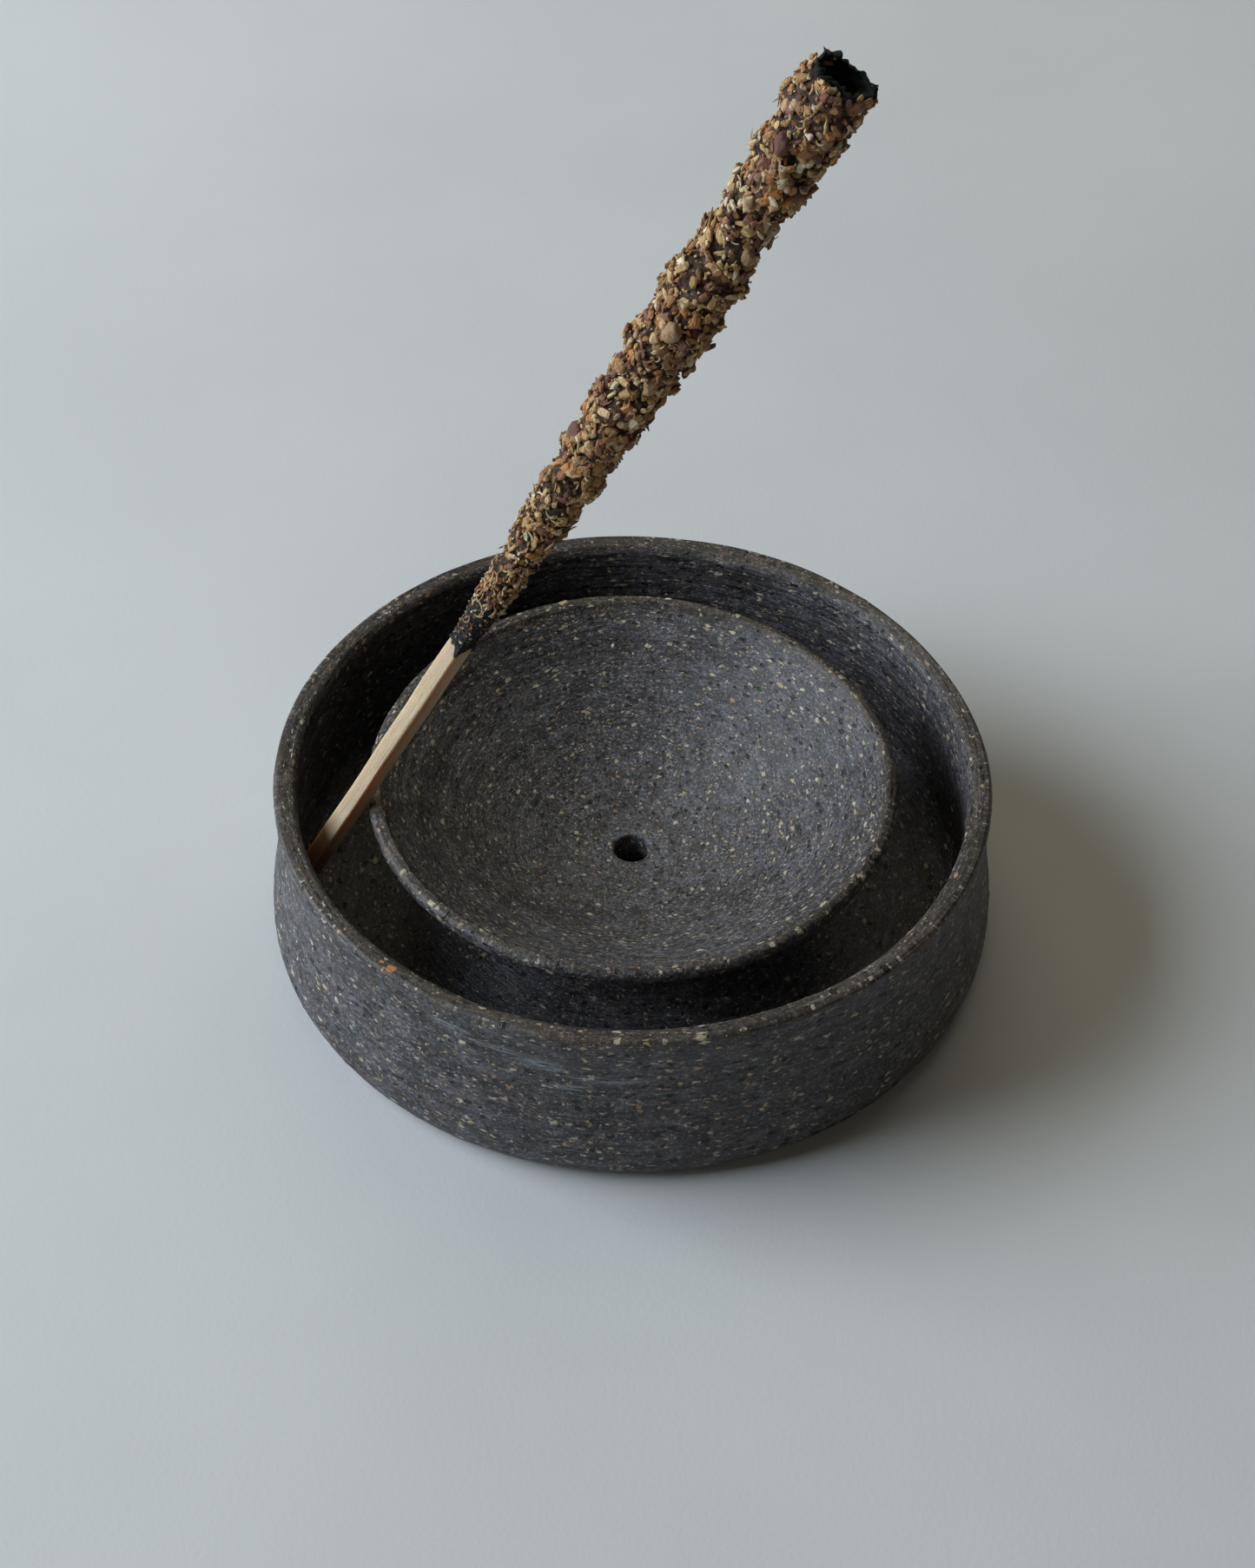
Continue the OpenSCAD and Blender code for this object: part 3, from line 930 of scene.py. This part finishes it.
    def with_grog(self, colour, coarse):
        """Three sizes of grog, and pits. Also gives where the large and small grog and the pits are."""
        tiny, tiny_kind = self.grains((5.9, 2.3, 8.8), 2.5, 0.5, (0.14, 0.38), 0.16)
        small, small_kind = self.grains((3.1, 9.7, 2.2), 1.4, 0.52, (0.14, 0.38), 0.13)
        large, large_kind = self.grains((0, 0, 0), 0.85, 0.55, (0.11 * coarse, 0.35 * coarse), 0.12)
        pit_share = self.step(self.cloud, 0.42, 0.62, 0.25, 0.7)
        pits, _ = self.grains((1.7, 6.1, 3.3), 0.85, pit_share, (0.14, 0.36), 0.08)
        sets = ((tiny, tiny_kind, 0.6), (small, small_kind, 0.75), (large, large_kind, 0.85))
        for grog, kind, cover in sets:
            colour = self.mix(self.times(grog, cover), colour, self.ramp(kind, *GROG))
        return self.mix(self.times(pits, 0.95), colour, PIT), large, small, pits

    def with_smears(self, colour, smears):
        """Pale patches of scratches, each an ellipsoid that fades outwards."""
        for middle, reach in smears:
            offset = self.vector("DIVIDE", self.vector("SUBTRACT", self.here, middle), reach)
            near = self.step(self.vector("LENGTH", offset), 1.0, 0.4)
            share = self.times(near, self.step(self.fine_streak, 0.42, 0.56, 0.0, 0.8))
            colour = self.mix(share, colour, SMEAR_BLUE)
        return colour

    def with_spots(self, colour, spots):
        """Single grains with an uneven outline."""
        for place, size, spot in spots:
            away = self.vector("DISTANCE", self.warped(self.here, 1.5, 0.8), place)
            colour = self.mix(self.step(away, size, size * 0.6), colour, spot)
        return colour


def stoneware(name, shift, rim_z, rim_r, lines, coarse, spots, smears=()):
    """The clay of one pot, whose rim is at rim_z and rim_r. coarse scales its large grog."""
    clay = Clay(name, shift, rim_r, lines)
    colour = clay.with_rim(clay.with_throwing(clay.bare()), rim_z, rim_r)
    colour, large, small, pits = clay.with_grog(colour, coarse)
    colour = clay.with_spots(clay.with_smears(colour, smears), spots)
    height = clay.total((clay.sand, 0.5), (clay.fine_streak, 0.5 * lines), (clay.streak, 0.4 * lines),
                        (large, 0.3), (small, 0.2), (pits, -1.0))
    roughness = clay.step(clay.maths("ADD", clay.sand, clay.streak), 0.7, 1.3, 0.42, 0.62)
    return clay.finish(colour, roughness, clay.bump(height, 0.28))


def stick_place(paint):
    """The place in the stick's own frame, in millimetres, and its three parts."""
    here = paint.vector("SUBTRACT", paint.place(), tuple(STICK_FOOT))
    parts = [paint.vector("DOT_PRODUCT", here, tuple(way)) for way in STICK_ROWS]
    return paint.join(*parts), parts


def pale_wood():
    """Split pale wood: long grain, a brown streak of painted shade down the face turned from the window, and
    painted shade over the foot.
    """
    paint = Paint("pale_wood")
    at, (_, _, along) = stick_place(paint)
    turn = {"Vector": at, "Angle": -CORE_TURN}
    squared = paint.node("VectorRotate", turn, rotation_type="Z_AXIS").outputs[0]
    across, side, _ = paint.split(squared)
    grain = paint.noise(paint.vector("MULTIPLY", at, (5.0, 5.0, 0.16)), 1.0, 5, 0.6)
    pores = paint.noise(paint.vector("MULTIPLY", at, (16.0, 16.0, 0.7)), 1.0, 3, 0.6)
    drift = paint.noise(paint.vector("MULTIPLY", at, (0.5, 0.5, 0.07)), 1.0, 3)
    colour = paint.ramp(grain, *WOOD)
    colour = paint.mix(paint.step(pores, 0.55, 0.75, 0.0, 0.5), colour, WOOD_PORES)
    # Painted shade: a brown streak down the face turned away from the window.
    from_shade_streak = paint.maths("ABSOLUTE", paint.total((across, 1.0), (drift, -1.6), (1.35, 1.0)))
    on_shaded_face = paint.step(side, -0.9, -1.1)
    streak = paint.times(paint.step(from_shade_streak, 0.5, 0.15), on_shaded_face)
    colour = paint.mix(paint.times(streak, 0.75), colour, WOOD_SHADE_STREAK)
    # Painted shade: the foot darkens to orange-brown where the bowl's rim shades it.
    foot_shade = paint.step(paint.total((along, 1.0), (grain, 5.0)), 9.5, 3.0, 0.0, 0.85)
    colour = paint.mix(foot_shade, colour, WOOD_FOOT_SHADE)
    height = paint.total((grain, 1.0), (pores, 0.5))
    for key, value in (("Weight", 0.8), ("Radius", (1.0, 0.65, 0.4)), ("Scale", 3.0 * MM)):
        paint.shader.inputs["Subsurface " + key].default_value = value
    return paint.finish(colour, paint.step(grain, 0.3, 0.7, 0.62, 0.5), paint.bump(height, 0.12), 0.35)


def grit(paint, at, scale, push, share, pair, flecks):
    """A gritty colour with flecks pushed out of round; also the grit, and a height for a bump."""
    grains = paint.noise(at, scale, 5, 0.7)
    fleck, kind = paint.specks(paint.warped(at, scale, push), scale, share, (0.15, 0.42), 0.12)
    colour = paint.mix(paint.step(grains, 0.35, 0.68), *pair)
    height = paint.total((grains, 1.0), (fleck, 0.3))
    return paint.mix(fleck, colour, paint.ramp(kind, *flecks)), grains, height


def gritty(name, pair, flecks, share, scale, bump_mm, rough):
    """A dry gritty matter with flecks in it."""
    paint = Paint(name)
    colour, _, height = grit(paint, paint.place(), scale, 0.6 / scale, share, pair, flecks)
    return paint.finish(colour, rough, paint.bump(height, bump_mm), 0.35)


def char_material():
    """Charcoal inside and on the rim, and scorched paste on the outside below it."""
    paint = Paint("char")
    at, (across, side, along) = stick_place(paint)
    soot, grains, height = grit(paint, at, 1.8, 0.35, 0.4, SOOT, SOOT_FLECKS)
    scorched = paint.mix(paint.step(grains, 0.35, 0.68), *PASTE)
    outside = paint.step(paint.vector("LENGTH", paint.join(across, side, 0.0)), 3.5, 3.9)
    burnt_from = COAT_START + COAT_LEN - 2.2
    below = paint.step(paint.total((along, 1.0), (grains, 1.5)), burnt_from + 1.2, burnt_from)
    colour = paint.mix(paint.times(outside, below), soot, scorched)
    return paint.finish(colour, 0.65, paint.bump(height, 0.6), 0.35)


def tinted_bits(name, stops, rough, specular):
    """Chips that each take a colour from their tint, with torn grain, darker and sootier by shade."""
    paint = Paint(name)
    at = paint.place()
    tint = paint.node("Attribute", attribute_name="tint").outputs["Color"]
    kind, shade, _ = paint.node("SeparateColor", {"Color": tint}).outputs
    grain = paint.noise(at, 2.4, 4, 0.65)
    blotch = paint.noise(at, 0.8, 3)
    colour = paint.ramp(paint.total((kind, 1.0), (blotch, 0.4), (-0.2, 1.0)), *stops)
    colour = paint.mix(paint.step(grain, 0.42, 0.72, 0.0, 0.55), colour, TORN_GRAIN)
    colour = paint.mix(paint.step(shade, 0.0, 0.6, 0.9, 0.0), colour, SOOTY)
    return paint.finish(colour, rough, paint.bump(grain, 0.18), specular)


def floor_material():
    paint = Paint("pale_floor")
    at = paint.place()
    cloud = paint.noise(at, 0.012, 4)
    colour = paint.mix(paint.step(cloud, 0.3, 0.7), *FLOOR)
    return paint.finish(colour, 0.75, paint.bump(paint.noise(at, 1.2, 4), 0.03), 0.2)


# ---- the scene

def show(piece, node, body, material):
    """Gives a finished piece its material and its body, and hides the CAD node that it stands for."""
    piece.data.materials.append(material)
    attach(piece, body)
    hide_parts(node)


def build_pots():
    clay = stoneware("bowl_clay", 0.0, BOWL_H, RIM_R, 1.0, 1.0, BOWL_SPOTS, BOWL_SMEARS)
    bowl = turned("ash_bowl", *bowl_outline(), bowl_relief, bowl_wobble)
    show(bowl, "outer_bowl", "bowl", clay)
    clay = stoneware("dish_clay", 31.0, DISH_HIGH[2], DISH_HIGH[0], 0.55, 1.1, DISH_SPOTS)
    dish = turned("holder_saucer", *dish_outline(), dish_relief, dish_wobble, closed=True)
    show(dish, "holder_dish", "dish", clay)


def build_stick():
    core = core_object()
    collar = sleeve("binder_sleeve", collar_low, collar_high, collar_radius, rows=70, columns=80)
    coat = sleeve("incense_coat", paste_low, paste_high, paste_radius, rows=320, columns=96)
    binder = gritty("binder", BINDER, BINDER_FLECKS, 0.35, 2.4, 0.4, 0.4)
    paste = gritty("paste", PASTE, CRUMBS, 0.5, 1.8, 0.5, 0.85)
    wood = tinted_bits("chip_wood", CREAM_CHIPS, 0.8, 0.3)
    show(core, "stick_core", "stick", pale_wood())
    show(collar, "binder_collar", "stick", binder)
    show(coat, "incense_paste", "stick", paste)
    show(wood_chips_object(), "wood_chips", "stick", wood)
    show(bark_chips_object(), "bark_chips", "stick", tinted_bits("bark", BROWN_CHIPS, 0.6, 0.4))
    show(resin_object(), "resin_lumps", "stick", tinted_bits("resin", RESIN_TEARS, 0.65, 0.4))
    show(tip_object(), "charred_tip", "stick", char_material())


FLOOR_HALF_MM = 3000
CAMERA_ELEVATION = math.radians(45.53)
CAMERA_ROLL = math.radians(0.48)
CAMERA_DISTANCE = 0.5295
CAMERA_LENS, CAMERA_SENSOR = 83.7, 36
CAMERA_TARGET = (-0.0007, 0.0125, 0.0123)


def build_camera():
    back = Vector((0, -math.cos(CAMERA_ELEVATION), math.sin(CAMERA_ELEVATION)))
    right = Vector((1, 0, 0))
    up = back.cross(right)
    data = bpy.data.cameras.new("camera")
    data.lens = CAMERA_LENS
    data.sensor_width = CAMERA_SENSOR
    data.clip_start = 0.01
    camera = bpy.data.objects.new("camera", data)
    side = right * math.cos(CAMERA_ROLL) + up * math.sin(CAMERA_ROLL)
    top = up * math.cos(CAMERA_ROLL) - right * math.sin(CAMERA_ROLL)
    turn = Matrix((side, top, back)).transposed().to_4x4()
    camera.matrix_world = Matrix.Translation(Vector(CAMERA_TARGET) + back * CAMERA_DISTANCE) @ turn
    bpy.context.scene.collection.objects.link(camera)
    bpy.context.scene.camera = camera


def soft_light(name, place, target, size, power, colour):
    data = bpy.data.lights.new(name, "AREA")
    data.shape = "RECTANGLE"
    data.size, data.size_y = size
    data.energy = power
    data.color = colour
    lamp = bpy.data.objects.new(name, data)
    lamp.location = place
    lamp.rotation_euler = (Vector(target) - Vector(place)).to_track_quat("-Z", "Y").to_euler()
    bpy.context.scene.collection.objects.link(lamp)


def build_studio():
    half = FLOOR_HALF_MM
    corners = [(-half, -half, 0), (half, -half, 0), (half, half, 0), (-half, half, 0)]
    floor = new_object("floor", corners, [[0, 1, 2, 3]])
    floor.data.materials.append(floor_material())
    soft_light("window", (-0.98, 0.06, 0.62), (0, 0, 0.02), (1.0, 0.75), 18.8, (0.8, 0.9, 1.0))
    soft_light("room", (0.1, -1.3, 0.8), (0, 0, 0.02), (1.0, 1.0), 0.9, (1.0, 0.95, 0.78))
    soft_light("ceiling", (0.05, 0.85, 1.05), (0, 0, 0), (1.3, 1.3), 4.2, (1.0, 0.95, 0.74))
    world = bpy.data.worlds.new("room")
    bpy.context.scene.world = world
    world.use_nodes = True
    background = world.node_tree.nodes["Background"]
    background.inputs["Color"].default_value = (1.0, 0.95, 0.85, 1)
    background.inputs["Strength"].default_value = 0.02
    bpy.context.scene.view_settings.view_transform = "Standard"


build_camera()
build_pots()
build_stick()
build_studio()
